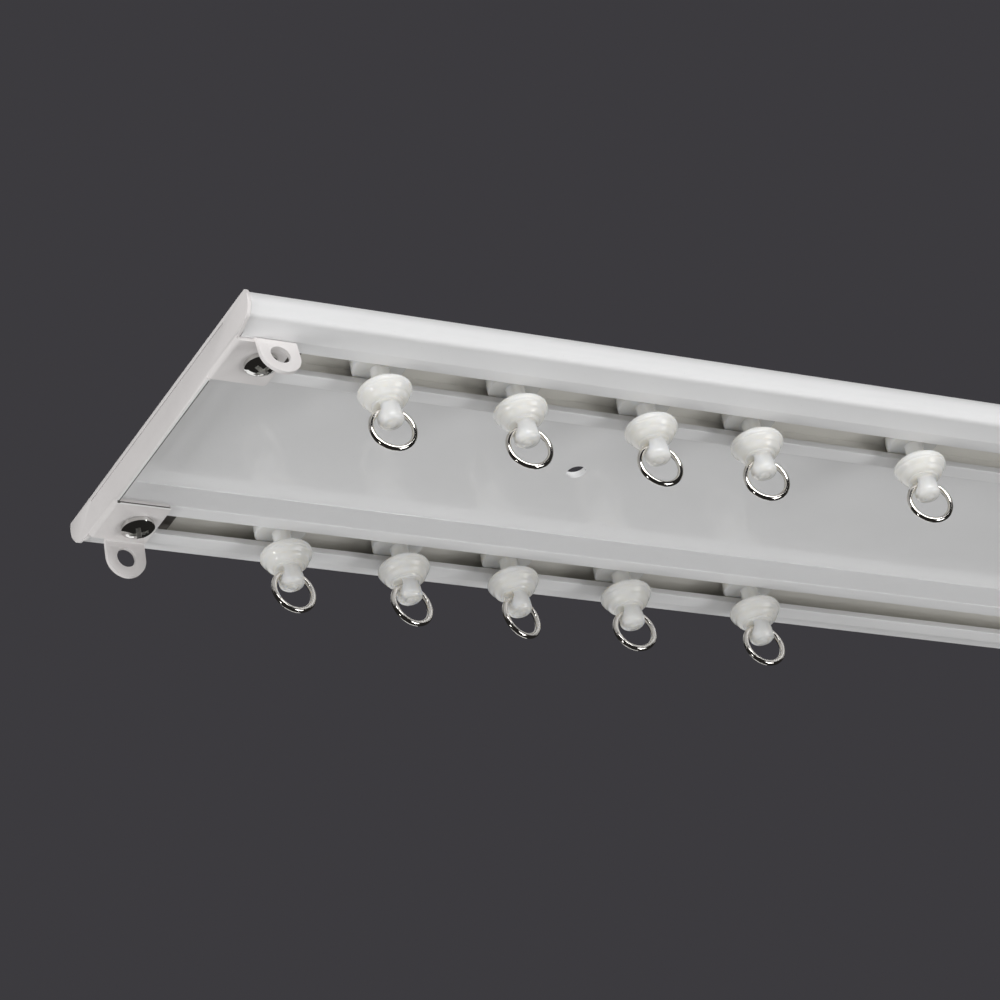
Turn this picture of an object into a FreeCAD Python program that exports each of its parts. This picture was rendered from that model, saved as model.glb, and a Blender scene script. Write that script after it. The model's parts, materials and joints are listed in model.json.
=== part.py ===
import FreeCAD, Part
import math
import os

os.makedirs("parts", exist_ok=True)
Vec = FreeCAD.Vector

# A double curtain track for a ceiling, with folded end caps, gliders and hook rings.
# Millimetres. X runs along the track, Y across it, Z up. The origin is the centre of the
# face that lies against the ceiling, so the whole track hangs below Z = 0.

# Extruded track
overall_length = 360.0  # over the outer faces of both end caps
track_width = 88.5  # across the ceiling face, fascia edge to fascia edge
track_height = 7.2  # ceiling face to the underside of the lips
web_t = 1.6
lip_t = 1.6
wall_t = 1.1  # wall between a channel and the recess in the middle
skin_t = 1.2  # fascia skin
slot_w = 7.1
slot_inset = 12.75  # slot centre in from the fascia's top edge
lip_w = 3.9  # inner lip, from the slot to the wall's outer face
lip_round = 0.3  # rounding of the lips' long edges

# Fascia curve: how far in from its top edge, and how far above the lips' underside
bulge_out = 0.75  # how far the fascia swells past its top edge
bulge_drop = 2.0  # how far below the ceiling the swell is widest
nose_in = 0.2
nose_rise = 2.6
turn_in = 0.85
turn_rise = 1.75
slope_in = 2.0
slope_rise = 1.4
foot_in = 5.6

# Screw holes through the web
web_hole_d = 4.6
web_hole_inset = 106.75  # hole centre in from the cap's outer face

# Folded end caps
cap_t = 0.9  # sheet
cap_over = 0.5  # how far the plate stands proud of the fascias
bend_r = 0.3  # inside of a bend, and the gap from the plate to the track's end
tab_len = 14.0  # tab end in from the plate's outer face
tab_reach = 20.7  # tab's inner edge in from the fascia's top edge
fold_in = 5.1  # lug's outer face, at the fold, in from the fascia's top edge
hardware_in = 9.0  # screw and lug centre line in from the plate's outer face
lug_w = 9.6
lug_hole_d = 4.6
lug_drop = 4.8  # lug hole centre below the lips' underside
lug_lean = 7.0  # degrees that a lug leans outwards
tab_corner = 1.0
slit_w = 0.35  # slit under the cap plate's top edge
slit_drop = 0.9
slit_end_in = 10.2  # slit end in from the fascia's top edge

# Cap screws and nut plates
screw_d = 4.0
screw_len = 6.0
screw_hole_clear = 0.2  # radial, in the tab
thread_clear = 0.02  # radial, in the nut plate
screw_head_d = 7.6
screw_head_side = 1.1  # height of the head's straight side
screw_crown = 1.3  # height of the crown above it
screw_crown_bow = 0.42
cross_len = 4.2
cross_w = 0.95
cross_deep = 1.5
nut_t = 2.0
nut_side_clear = 0.7  # nut plate to each channel wall
nut_end_in = 18.4  # nut plate's inner end, in from the cap plate's outer face
nut_end_gap = 0.3  # nut plate's outer end to the cap plate

# Gliders
head_r = 6.1
head_h = 3.3
head_gap = 0.1  # head above the lips it runs on
head_round = 0.5
neck_r = 2.15
dome_gap = 3.15  # dome top below the lips' underside
dome_r = 6.05
rim_round = 1.2
rim_bow = 0.1
groove_step = 0.35  # how far the groove under the rim is cut in
groove_drop = 0.75  # groove below the rim's widest line
shoulder_h = 1.05  # bell from the groove down to where it turns inwards
shoulder_r = 5.05  # bell where it turns inwards
shoulder_bow = 0.05
bowl_h = 1.95  # bell from there down to its flat underside
bowl_r = 3.6  # edge of the underside
bowl_bow = 0.3
stem_r = 2.7  # stem where it leaves the bell
bulb_r = 2.95
bulb_h = 3.6  # underside of the bell to the widest line of the bulb
bulb_end_h = 1.35  # widest line of the bulb to its flat end
bulb_end_r = 1.95
bulb_end_bow = 0.4

# Hook rings
ring_r = 4.95  # to the middle of the wire
wire_r = 0.66
eye_gap = 0.16  # narrow middle of the eye to the underside of the bell
eye_clear = 0.1  # radial, wire to eye
eye_flare = 0.3  # how far the eye's flare runs past the side of the bulb

# Where the gliders stand: distance from the left cap's outer face, and turn about Z in degrees
near_row = [38.3, 72.3, 106.0, 134.2, 179.2]
near_turn = [-9.0, -8.0, -5.0, -11.0, -12.5]
far_row = [45.6, 76.0, 105.0, 135.8, 172.1]
far_turn = [2.0, 6.0, 12.0, -4.0, -1.5]

# Places worked out from the sizes above
half_length = overall_length / 2
half_width = track_width / 2
lip_z = -track_height
lip_top_z = lip_z + lip_t
roof_z = -web_t
slot_y = half_width - slot_inset
wall_out_y = slot_y - slot_w / 2 - lip_w
wall_in_y = wall_out_y + wall_t
track_end_in = cap_t + bend_r
track_length = overall_length - 2 * track_end_in
tab_under_z = lip_z - cap_t
tab_out_y = half_width - fold_in - cap_t - bend_r
tab_in_y = half_width - tab_reach
slope_angle = math.atan2(slope_rise, foot_in - slope_in)
dome_z = lip_z - dome_gap
rim_z = dome_z - rim_round
bell_under_z = rim_z - groove_drop - shoulder_h - bowl_h
eye_top_z = bell_under_z - eye_gap
eye_z = eye_top_z - eye_clear - wire_r
overshoot = 1.0  # how far a cutting tool runs past the face that it opens
same_place = 1e-6  # places nearer than this are one


def face_from(start, steps):
    """Face inside a closed outline. A step is an end point, or (through, end) for an arc."""
    edges = []
    here = start
    for step in steps:
        if isinstance(step, tuple):
            through, end = step
            edges.append(Part.Arc(here, through, end).toShape())
        else:
            end = step
            edges.append(Part.LineSegment(here, end).toShape())
        here = end
    edges.append(Part.LineSegment(here, start).toShape())
    return Part.Face(Part.Wire(edges))


def bowed(start, end, bow):
    """Arc step of a half outline drawn downwards: out from its chord by the bow, or in if negative."""
    chord = end - start
    out = Vec(-chord.z, 0, chord.x).normalize()
    return (start + chord * 0.5 + out * bow, end)


def box_between(low, high):
    """Box from its lowest to its highest corner."""
    size = high - low
    return Part.makeBox(size.x, size.y, size.z, low)


def both_sides(shape):
    """The shape and its mirror image across the track's middle plane."""
    return [shape, shape.mirror(Vec(0, 0, 0), Vec(0, 1, 0))]


def at_inset(side, inset, z):
    """Point of the cross-section on the near (-1) or far (+1) side."""
    return Vec(0, side * (half_width - inset), z)


def section_face():
    """Outside of the cross-section: ceiling face, two fascias and the lips' underside."""
    near, far = -1, 1
    bulge_z = -bulge_drop
    return face_from(
        at_inset(near, foot_in, lip_z),
        [
            at_inset(far, foot_in, lip_z),
            at_inset(far, slope_in, lip_z + slope_rise),
            (at_inset(far, turn_in, lip_z + turn_rise), at_inset(far, nose_in, lip_z + nose_rise)),
            (at_inset(far, -bulge_out, bulge_z), at_inset(far, 0, 0)),
            at_inset(near, 0, 0),
            (at_inset(near, -bulge_out, bulge_z), at_inset(near, nose_in, lip_z + nose_rise)),
            (at_inset(near, turn_in, lip_z + turn_rise), at_inset(near, slope_in, lip_z + slope_rise)),
        ],
    )


def plate_face():
    """Outside of the end plate: the cross-section grown past the fascias, level with the ceiling."""
    grown = section_face().makeOffset2D(cap_over, 2)
    keep = face_from(
        Vec(0, -track_width, 0),
        [Vec(0, track_width, 0), Vec(0, track_width, lip_z), Vec(0, -track_width, lip_z)],
    )
    return grown.common(keep).Faces[0]


def channel_face():
    """Hollow of the far channel, between the fascia's skin and the channel's wall."""
    far = 1
    nose_normal = (math.pi / 2 - slope_angle) / 2
    nose = at_inset(
        far,
        nose_in + skin_t * math.cos(nose_normal),
        lip_z + nose_rise + skin_t * math.sin(nose_normal),
    )
    slope = at_inset(
        far,
        slope_in + skin_t * math.sin(slope_angle),
        lip_z + slope_rise + skin_t * math.cos(slope_angle),
    )
    foot = at_inset(
        far,
        slope_in + (skin_t / math.cos(slope_angle) + slope_rise - lip_t) / math.tan(slope_angle),
        lip_top_z,
    )
    return face_from(
        Vec(0, wall_in_y, lip_top_z),
        [foot, slope, nose, at_inset(far, skin_t - bulge_out, roof_z), Vec(0, wall_in_y, roof_z)],
    )


def long_lip_edges(body):
    """The long edges of the lips' undersides, at the slots and at the recess."""
    places = [wall_out_y, slot_y - slot_w / 2, slot_y + slot_w / 2]
    found = []
    for edge in body.Edges:
        box = edge.BoundBox
        is_long = box.XLength > track_length / 2
        is_low = abs(box.ZMin - lip_z) < same_place and abs(box.ZMax - lip_z) < same_place
        is_lip = min(abs(abs(box.YMin) - place) for place in places) < same_place
        if is_long and is_low and is_lip:
            found.append(edge)
    return found


def make_track():
    """Extrusion with two slotted channels, a recessed web and two screw holes."""
    start = Vec(-track_length / 2, 0, 0)
    along = Vec(track_length, 0, 0)
    tool_start = start - Vec(overshoot, 0, 0)
    tool_along = along + Vec(2 * overshoot, 0, 0)
    body = section_face().translated(start).extrude(along)
    hollow = channel_face().translated(tool_start).extrude(tool_along)
    slot = box_between(
        Vec(tool_start.x, slot_y - slot_w / 2, lip_z - overshoot),
        Vec(tool_start.x + tool_along.x, slot_y + slot_w / 2, lip_top_z + lip_t / 2),
    )
    recess = box_between(
        Vec(tool_start.x, -wall_out_y, lip_z - overshoot),
        Vec(tool_start.x + tool_along.x, wall_out_y, roof_z),
    )
    body = body.cut(both_sides(hollow) + both_sides(slot) + [recess])
    body = body.makeFillet(lip_round, long_lip_edges(body))
    hole_x = half_length - web_hole_inset
    holes = [
        Part.makeCylinder(web_hole_d / 2, web_t + 2 * overshoot, Vec(x, 0, roof_z - overshoot))
        for x in (-hole_x, hole_x)
    ]
    return body.cut(holes)


def make_lug():
    """Far lug of the left cap: a half-round ear with a hole, and the bend that it hangs from."""
    centre_x = -half_length + hardware_in
    bend_z = tab_under_z - bend_r
    face_y = tab_out_y + bend_r
    hole_z = lip_z - lug_drop
    blank = face_from(
        Vec(centre_x - lug_w / 2, face_y, bend_z),
        [
            Vec(centre_x - lug_w / 2, face_y, hole_z),
            (Vec(centre_x, face_y, hole_z - lug_w / 2), Vec(centre_x + lug_w / 2, face_y, hole_z)),
            Vec(centre_x + lug_w / 2, face_y, bend_z),
        ],
    )
    hole = Part.makeCylinder(
        lug_hole_d / 2, cap_t + 2 * overshoot, Vec(centre_x, face_y - overshoot, hole_z), Vec(0, 1, 0)
    )
    ear = blank.extrude(Vec(0, cap_t, 0)).cut(hole)
    bend_point = Vec(0, tab_out_y, bend_z)
    ear.rotate(bend_point, Vec(1, 0, 0), lug_lean)
    edge = face_from(
        Vec(centre_x - lug_w / 2, tab_out_y, tab_under_z),
        [
            Vec(centre_x + lug_w / 2, tab_out_y, tab_under_z),
            Vec(centre_x + lug_w / 2, tab_out_y, lip_z),
            Vec(centre_x - lug_w / 2, tab_out_y, lip_z),
        ],
    )
    return [edge.revolve(bend_point, Vec(-1, 0, 0), 90 - lug_lean), ear]


def make_tab():
    """Far tab of the left cap, under the lips, with the bend that joins it to the plate."""
    plate_x = -half_length
    bend_x = plate_x + track_end_in
    blank = box_between(
        Vec(bend_x, tab_in_y, tab_under_z),
        Vec(plate_x + tab_len, tab_out_y, lip_z),
    )
    corner = [
        edge
        for edge in blank.Edges
        if edge.BoundBox.ZLength > cap_t / 2
        and edge.BoundBox.XMin > plate_x + tab_len - cap_t
        and edge.BoundBox.YMax < tab_in_y + cap_t
    ]
    blank = blank.makeFillet(tab_corner, corner)
    hole = Part.makeCylinder(
        screw_d / 2 + screw_hole_clear,
        cap_t + 2 * overshoot,
        Vec(plate_x + hardware_in, slot_y, tab_under_z - overshoot),
    )
    edge = face_from(
        Vec(plate_x, tab_in_y, lip_z + bend_r),
        [
            Vec(plate_x + cap_t, tab_in_y, lip_z + bend_r),
            Vec(plate_x + cap_t, tab_out_y, lip_z + bend_r),
            Vec(plate_x, tab_out_y, lip_z + bend_r),
        ],
    )
    bend = edge.revolve(Vec(bend_x, 0, lip_z + bend_r), Vec(0, -1, 0), 90)
    return [blank.cut(hole), bend]


def make_left_cap():
    """Folded sheet cap: end plate, two tabs under the track and two hanging lugs."""
    plate_x = -half_length
    plate = plate_face().translated(Vec(plate_x, 0, 0)).extrude(Vec(cap_t, 0, 0))
    tab_gap = box_between(
        Vec(plate_x - overshoot, tab_in_y, lip_z - overshoot),
        Vec(plate_x + cap_t + overshoot, tab_out_y, lip_z + bend_r),
    )
    slit_y = half_width - slit_end_in
    slit = box_between(
        Vec(plate_x - overshoot, -slit_y, -slit_drop - slit_w),
        Vec(plate_x + cap_t + overshoot, slit_y, -slit_drop),
    )
    plate = plate.cut(both_sides(tab_gap) + [slit])
    apron = box_between(
        Vec(plate_x, -tab_in_y, tab_under_z),
        Vec(plate_x + cap_t, tab_in_y, lip_z),
    )
    folds = []
    for piece in make_tab() + make_lug():
        folds += both_sides(piece)
    return plate.fuse([apron] + folds).removeSplitter()


def make_screw(x, y):
    """Pan-head screw with a cross recess, driven upwards through the tab."""
    rim_r = screw_head_d / 2
    side_z = tab_under_z - screw_head_side
    crown_z = side_z - screw_crown
    crown_rim = Vec(rim_r, 0, side_z)
    profile = face_from(
        Vec(0, 0, tab_under_z),
        [
            Vec(rim_r, 0, tab_under_z),
            crown_rim,
            bowed(crown_rim, Vec(0, 0, crown_z), screw_crown_bow),
        ],
    )
    head = profile.revolve(Vec(0, 0, 0), Vec(0, 0, 1), 360)
    for length, width in ((cross_len, cross_w), (cross_w, cross_len)):
        head = head.cut(
            box_between(
                Vec(-length / 2, -width / 2, crown_z - overshoot),
                Vec(length / 2, width / 2, crown_z + cross_deep),
            )
        )
    shank = Part.makeCylinder(screw_d / 2, screw_len, Vec(0, 0, tab_under_z))
    return head.fuse(shank).removeSplitter().translated(Vec(x, y, 0))


def make_nut_plate(side_x, y):
    """Plate inside a channel that a cap screw pulls down on to the lips."""
    ends = sorted(side_x * (half_length - inset) for inset in (cap_t + nut_end_gap, nut_end_in))
    half_y = slot_y - wall_in_y - nut_side_clear
    plate = box_between(
        Vec(ends[0], y - half_y, lip_top_z),
        Vec(ends[1], y + half_y, lip_top_z + nut_t),
    )
    screw_x = side_x * (half_length - hardware_in)
    bore = Part.makeCylinder(
        screw_d / 2 + thread_clear, nut_t + 2 * overshoot, Vec(screw_x, y, lip_top_z - overshoot)
    )
    return plate.cut(bore)


def glider_profile():
    """Half outline of a glider on its own axis, from the head inside the channel to the bulb."""
    head_bottom = lip_top_z + head_gap
    head_top = head_bottom + head_h
    soft = head_round * (1 - math.sqrt(0.5))
    rim_soft = rim_round * math.sqrt(0.5)
    rim = Vec(dome_r, 0, rim_z)
    groove = Vec(dome_r - groove_step, 0, rim_z - groove_drop)
    shoulder = Vec(shoulder_r, 0, groove.z - shoulder_h)
    bowl = Vec(bowl_r, 0, bell_under_z)
    bulb = Vec(bulb_r, 0, bell_under_z - bulb_h)
    bulb_end = Vec(bulb_end_r, 0, bulb.z - bulb_end_h)
    return face_from(
        Vec(0, 0, head_top),
        [
            Vec(head_r - head_round, 0, head_top),
            (Vec(head_r - soft, 0, head_top - soft), Vec(head_r, 0, head_top - head_round)),
            Vec(head_r, 0, head_bottom + head_round),
            (Vec(head_r - soft, 0, head_bottom + soft), Vec(head_r - head_round, 0, head_bottom)),
            Vec(neck_r, 0, head_bottom),
            Vec(neck_r, 0, dome_z),
            Vec(dome_r - rim_round, 0, dome_z),
            (Vec(dome_r - rim_round + rim_soft, 0, rim_z + rim_soft), rim),
            bowed(rim, groove, rim_bow),
            bowed(groove, shoulder, shoulder_bow),
            bowed(shoulder, bowl, bowl_bow),
            Vec(stem_r, 0, bell_under_z),
            bulb,
            bowed(bulb, bulb_end, bulb_end_bow),
            Vec(0, 0, bulb_end.z),
        ],
    )


def make_glider():
    """One-piece glider at the origin, with an eye along X that flares as the ring swings, under the bell."""
    body = glider_profile().revolve(Vec(0, 0, 0), Vec(0, 0, 1), 360)
    mouth_x = bulb_r + eye_flare
    throat_r = ring_r - wire_r - eye_clear
    mouth_r = ring_r - math.sqrt(throat_r**2 - mouth_x**2)
    eye = face_from(
        Vec(-mouth_x, 0, eye_z),
        [
            Vec(-mouth_x, 0, eye_z + mouth_r),
            (Vec(0, 0, eye_top_z), Vec(mouth_x, 0, eye_z + mouth_r)),
            Vec(mouth_x, 0, eye_z),
        ],
    )
    round_eye = eye.revolve(Vec(0, 0, eye_z), Vec(1, 0, 0), 360)
    reach = max(mouth_x, mouth_r) + overshoot
    flat_z = (eye_top_z + bell_under_z) / 2
    above = box_between(Vec(-reach, -reach, flat_z), Vec(reach, reach, eye_z + reach))
    return body.cut(round_eye.cut(above))


def make_ring():
    """Wire ring that hangs from the eye of a glider at the origin."""
    return Part.makeTorus(ring_r, wire_r, Vec(0, 0, eye_z - ring_r), Vec(0, 1, 0))


def placed(shape, turn, x, y):
    """Copy of a glider or ring, turned about its own axis and moved to its place."""
    copy = shape.copy()
    copy.rotate(Vec(0, 0, 0), Vec(0, 0, 1), turn)
    copy.translate(Vec(x, y, 0))
    return copy


def make_nodes():
    """Every sub-part by its node name."""
    left_cap = make_left_cap()
    nodes = {
        "track_profile": make_track(),
        "end_cap_left": left_cap,
        "end_cap_right": left_cap.mirror(Vec(0, 0, 0), Vec(1, 0, 0)),
    }
    sides = {"near": -slot_y, "far": slot_y}
    ends = {"left": -1, "right": 1}
    for side, y in sides.items():
        for end, side_x in ends.items():
            nodes[f"{side}_{end}_cap_screw"] = make_screw(side_x * (half_length - hardware_in), y)
            nodes[f"{side}_{end}_nut_plate"] = make_nut_plate(side_x, y)
    rows = {"near": (near_row, near_turn), "far": (far_row, far_turn)}
    glider = make_glider()
    ring = make_ring()
    for side, (places, turns) in rows.items():
        for number, (place, turn) in enumerate(zip(places, turns), 1):
            x = place - half_length
            nodes[f"{side}_glider_{number}"] = placed(glider, turn, x, sides[side])
            nodes[f"{side}_ring_{number}"] = placed(ring, turn, x, sides[side])
    return nodes


for name, shape in make_nodes().items():
    shape.exportStep(f"parts/{name}.step")
    print(name, "solids", len(shape.Solids), "valid", shape.isValid(), "volume", round(shape.Volume, 2))
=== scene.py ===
import json
import math

import bmesh
import bpy
from bpy.props import FloatProperty, FloatVectorProperty, IntProperty, PointerProperty
from mathutils import Matrix, Vector


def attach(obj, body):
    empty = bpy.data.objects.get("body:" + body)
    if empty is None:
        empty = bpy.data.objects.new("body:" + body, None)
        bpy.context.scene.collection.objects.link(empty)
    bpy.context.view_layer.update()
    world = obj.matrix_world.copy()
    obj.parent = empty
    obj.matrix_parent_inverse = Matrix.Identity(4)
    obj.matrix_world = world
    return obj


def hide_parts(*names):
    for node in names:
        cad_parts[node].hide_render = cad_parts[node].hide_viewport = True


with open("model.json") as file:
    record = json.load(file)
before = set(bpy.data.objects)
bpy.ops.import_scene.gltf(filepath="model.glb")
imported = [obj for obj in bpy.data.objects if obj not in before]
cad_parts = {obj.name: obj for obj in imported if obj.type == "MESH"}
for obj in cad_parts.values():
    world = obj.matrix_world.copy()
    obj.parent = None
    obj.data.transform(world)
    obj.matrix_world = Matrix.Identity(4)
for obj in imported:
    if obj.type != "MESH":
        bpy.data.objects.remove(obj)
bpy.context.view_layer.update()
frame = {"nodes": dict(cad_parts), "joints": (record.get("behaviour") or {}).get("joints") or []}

bl_info = {
    "name": "Double curtain track",
    "version": (1, 0, 0),
    "blender": (4, 5, 0),
    "location": "3D View > Sidebar > Curtain track",
    "description": "Dresses a double ceiling curtain track with painted, nylon and plated finishes",
    "category": "Object",
}

MM = 0.001
ROWS = ("near", "far")
ENDS = ("left", "right")
RECORD_JOINTS = {joint["child"]: joint for joint in frame["joints"]}
EDGE_HIGHLIGHT = "paint_bead"  # face attribute: 1 on the rounded edges of the sheet, which are painted near white as a painted highlight

# Fixed details of the shapes, in millimetres where no other unit is given
QUARTER_IN = 1 - math.sqrt(0.5)  # middle of a quarter circle in from both sides, as a share of its radius
QUARTER_BOW = math.sqrt(2) / 2 * (math.sqrt(2) - 1)  # bow of a quarter circle, as a share of its radius
NEARLY_STRAIGHT = math.radians(170)  # corners wider than this aren't rounded
CORNER_SHARE = 0.45  # how much of a side the rounding of one corner may take
NECK_FILLET = 0.12  # fillets at the ends of a glider's neck, as a share of its radius
SHANK_IN = 0.12  # screw's shank in from the nominal radius
TIP_CUT = 0.4  # chamfer at the screw's tip
HEAD_CUT = 0.15  # chamfer under the screw's head
CROSS_TAPER = 0.38  # how much narrower the cross recess is at its bottom, as a share
THREAD_IN = 0.18  # middle of the thread in from the nominal radius
THREAD_START = 0.4  # thread starts this far above the head
THREAD_SHORT = 1.0  # thread is this much shorter than the shank
THREAD_SHARE = 0.3  # radius of the thread's flank, as a share of the pitch
FIRST_TURN = 0.45  # how the first screw is turned, in radians
NEXT_TURN = 0.61  # how much further each next screw is turned, in radians
NUT_PLAY = 0.02  # nut plate's hole past the screw's radius
DRILL_DEPTH = 12.0  # longer than any hole is deep
DRILL_FACETS = 64
NUT_DRILL_FACETS = 48
SCREW_FACETS = 64
NO_OUTLINE = [(0.0, 0.0, 0.0), (MM, 0.0, 0.0)]  # stands in where a tree needs no outline
MERGE_TURNED = 1e-5
MERGE_RAISED = 1e-4
MERGE_PIECE = 2e-7  # metres
MERGE_SHEET = 1e-6  # metres
SHEET_FLAT = math.radians(1.0)  # faces of the sheet that differ less are one face
SHEET_FOLD = math.radians(40)  # edges of the sheet that turn more are rounded

# Fixed details of the finishes
SLOPE_LEAN = 1.6  # how far the middle of the fascia's skin moves in for each unit down, below the nose
MASK_SOFT = 0.05 * MM  # softness of the edges of painted areas
FASCIA_ROUGH = (0.38, 0.44)
WEB_ROUGH = 0.17
INSIDE_ROUGHER = 0.25  # how much rougher the paint is inside the channels
WEB_COAT = 0.3
CAP_ROUGH = (0.3, 0.42)
HIGHLIGHT_END_WIDTHS = 3.2  # where the painted highlight rim beside the painted shade line ends, in widths of that line
NEAR_SHADE_WIDTHS = 4.0  # how far the near tab's edge is kept off the painted shade line, in widths of that line
SCREW_ROUGH = (0.03, 0.09)
RECESS_ROUGH = 0.42
# Painted highlight: how much paler the cross recesses of the screws are painted
RECESS_HIGHLIGHT = 1.4
RING_ROUGH = (0.06, 0.14)
NUT_ROUGH = (0.4, 0.6)
NUT_BUMP = 0.2
NYLON_ROUGH = (0.1, 0.16)
FLOOR_ROUGH = (0.7, 0.85)

# Stage
FLOOR_HALF = 30.0
SENSOR = 36.0
CLIP = (0.01, 100.0)
LIGHTS = {  # by the setting with the power: place, point faced, size, whether glossy pieces mirror the light
    "key": ((-0.62, -0.88, -1.2), (-0.08, 0.0, 0.0), (1.0, 1.0), False),
    "front": ((-0.3, -1.85, 0.62), (-0.05, 0.0, 0.0), (1.8, 0.9), True),
    "left": ((-2.0, -0.1, -0.5), (-0.18, 0.0, 0.0), (0.8, 0.8), False),
    "left_spot": ((-1.6, 0.08, -1.16), (-0.1, 0.0, 0.0), (0.24, 0.24), True),
    "right": ((0.86, -1.27, -0.95), (0.0, 0.0, 0.0), (0.8, 0.8), True),
    "right_spot": ((0.8, -0.85, -1.46), (0.0, 0.0, 0.0), (0.24, 0.24), True),
    "back": ((0.3, 1.9, -0.4), (0.0, 0.0, 0.0), (1.4, 1.0), True),
    "top": ((0.6, 1.4, 2.0), (0.0, 0.0, 0.0), (2.0, 2.0), True),
}


# Sizes and colours

def length(name, description, millimetres):
    """Length property with its default given in millimetres."""
    return FloatProperty(
        name=name, description=description, default=millimetres * MM, min=0.0, unit="LENGTH", precision=5
    )


def colour(name, description, value):
    """Colour property."""
    return FloatVectorProperty(
        name=name, description=description, default=value, subtype="COLOR", size=3, min=0.0, max=1.0
    )


def angle(name, description, degrees):
    """Angle property with its default given in degrees."""
    return FloatProperty(name=name, description=description, default=math.radians(degrees), subtype="ANGLE")


def power(name, description, watts):
    """Power of a light."""
    return FloatProperty(name=name, description=description, default=watts, min=0.0, unit="POWER")


class TrackSizes(bpy.types.PropertyGroup):
    """Cross-section and length of the extruded track."""

    run: length("Length", "Length of the extrusion between the end caps", 357.6)
    width: length("Width", "Width of the ceiling face", 88.5)
    height: length("Height", "Ceiling face to the underside of the lips", 7.2)
    web: length("Web", "Thickness of the web", 1.6)
    lip: length("Lip", "Thickness of the lips", 1.6)
    wall: length("Wall", "Thickness of the inner channel walls", 1.1)
    skin: length("Skin", "Thickness of the fascia skin", 1.2)
    slot: length("Slot", "Width of a slot", 7.1)
    slot_inset: length("Slot inset", "Slot centre in from the fascia's top edge", 12.75)
    inner_lip: length("Inner lip", "Inner lip from the slot to the wall's outer face", 3.9)
    bulge: length("Bulge", "How far the fascia swells past its top edge", 0.75)
    bulge_drop: length("Bulge drop", "How far below the ceiling the swell is widest", 2.0)
    nose_in: length("Nose inset", "Where the swell ends, in from the top edge", 0.2)
    nose_rise: length("Nose rise", "Where the swell ends, above the lips' underside", 2.6)
    turn_in: length("Turn inset", "Middle of the fascia's turn, in from the top edge", 0.85)
    turn_rise: length("Turn rise", "Middle of the fascia's turn, above the lips' underside", 1.75)
    slope_in: length("Slope inset", "Start of the fascia's slope, in from the top edge", 2.0)
    slope_rise: length("Slope rise", "Start of the fascia's slope, above the lips' underside", 1.4)
    foot_in: length("Foot inset", "End of the fascia's slope, in from the top edge", 5.6)
    edge: length("Edge", "Rounding of the outer long edges", 0.3)
    inner_edge: length("Inner edge", "Rounding of the edges inside the channels", 0.15)
    hole: length("Screw hole", "Diameter of the ceiling screw holes", 4.6)
    hole_spacing: length("Hole spacing", "Distance between the ceiling screw holes", 146.5)


class CapSizes(bpy.types.PropertyGroup):
    """End caps and their fasteners."""

    edge: length("Sheet edge", "Rounding of the sheet's cut edges", 0.36)
    screw_x: length("Screw place", "Screws from the middle of the track, along it", 171.0)
    screw_y: length("Screw row", "Screws from the middle of the track, across it", 31.5)
    plate_in: length("Plate", "Inner face of the end plate from the middle of the track", 179.1)
    tab_in: length("Tab edge", "Inner edge of a tab from the middle of the track, across it", 23.55)
    # Painted shade: a dark line along the cap's inner edge and a dark disc in the corner notch stand in for
    # the shade in the gap.
    seam: length("Seam", "Width of the dark seam line along the cap's inner edge", 0.24)
    notch_shade: length("Notch", "Radius of the dark relief notch in the corner between plate and far tab", 0.6)
    tab_under: length("Tab underside", "Tab underside below the ceiling", 8.1)
    screw: length("Screw", "Diameter of a cap screw", 4.0)
    screw_run: length("Screw length", "Length of a cap screw under its head", 6.0)
    head: length("Screw head", "Diameter of a screw head", 7.6)
    head_side: length("Head side", "Height of the screw head's straight side", 1.1)
    crown: length("Crown", "Height of the screw head's crown", 1.3)
    crown_bow: length("Crown bow", "How far the crown swells from a straight cone", 0.42)
    cross: length("Cross", "Length of the cross recess", 4.6)
    cross_w: length("Cross width", "Width of the cross recess", 1.15)
    cross_deep: length("Cross depth", "Depth of the cross recess", 1.6)
    pitch: length("Thread pitch", "Pitch of the screw thread", 0.7)
    nut_x: length("Nut place", "Nut plates from the middle of the track, along it", 170.2)
    nut_run: length("Nut length", "Length of a nut plate", 17.2)
    nut_w: length("Nut width", "Width of a nut plate", 11.3)
    nut_t: length("Nut thickness", "Thickness of a nut plate", 2.0)
    nut_under: length("Nut underside", "Nut plate underside below the ceiling", 5.6)
    nut_corner: length("Nut corner", "Corner radius of a nut plate", 0.8)


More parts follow.
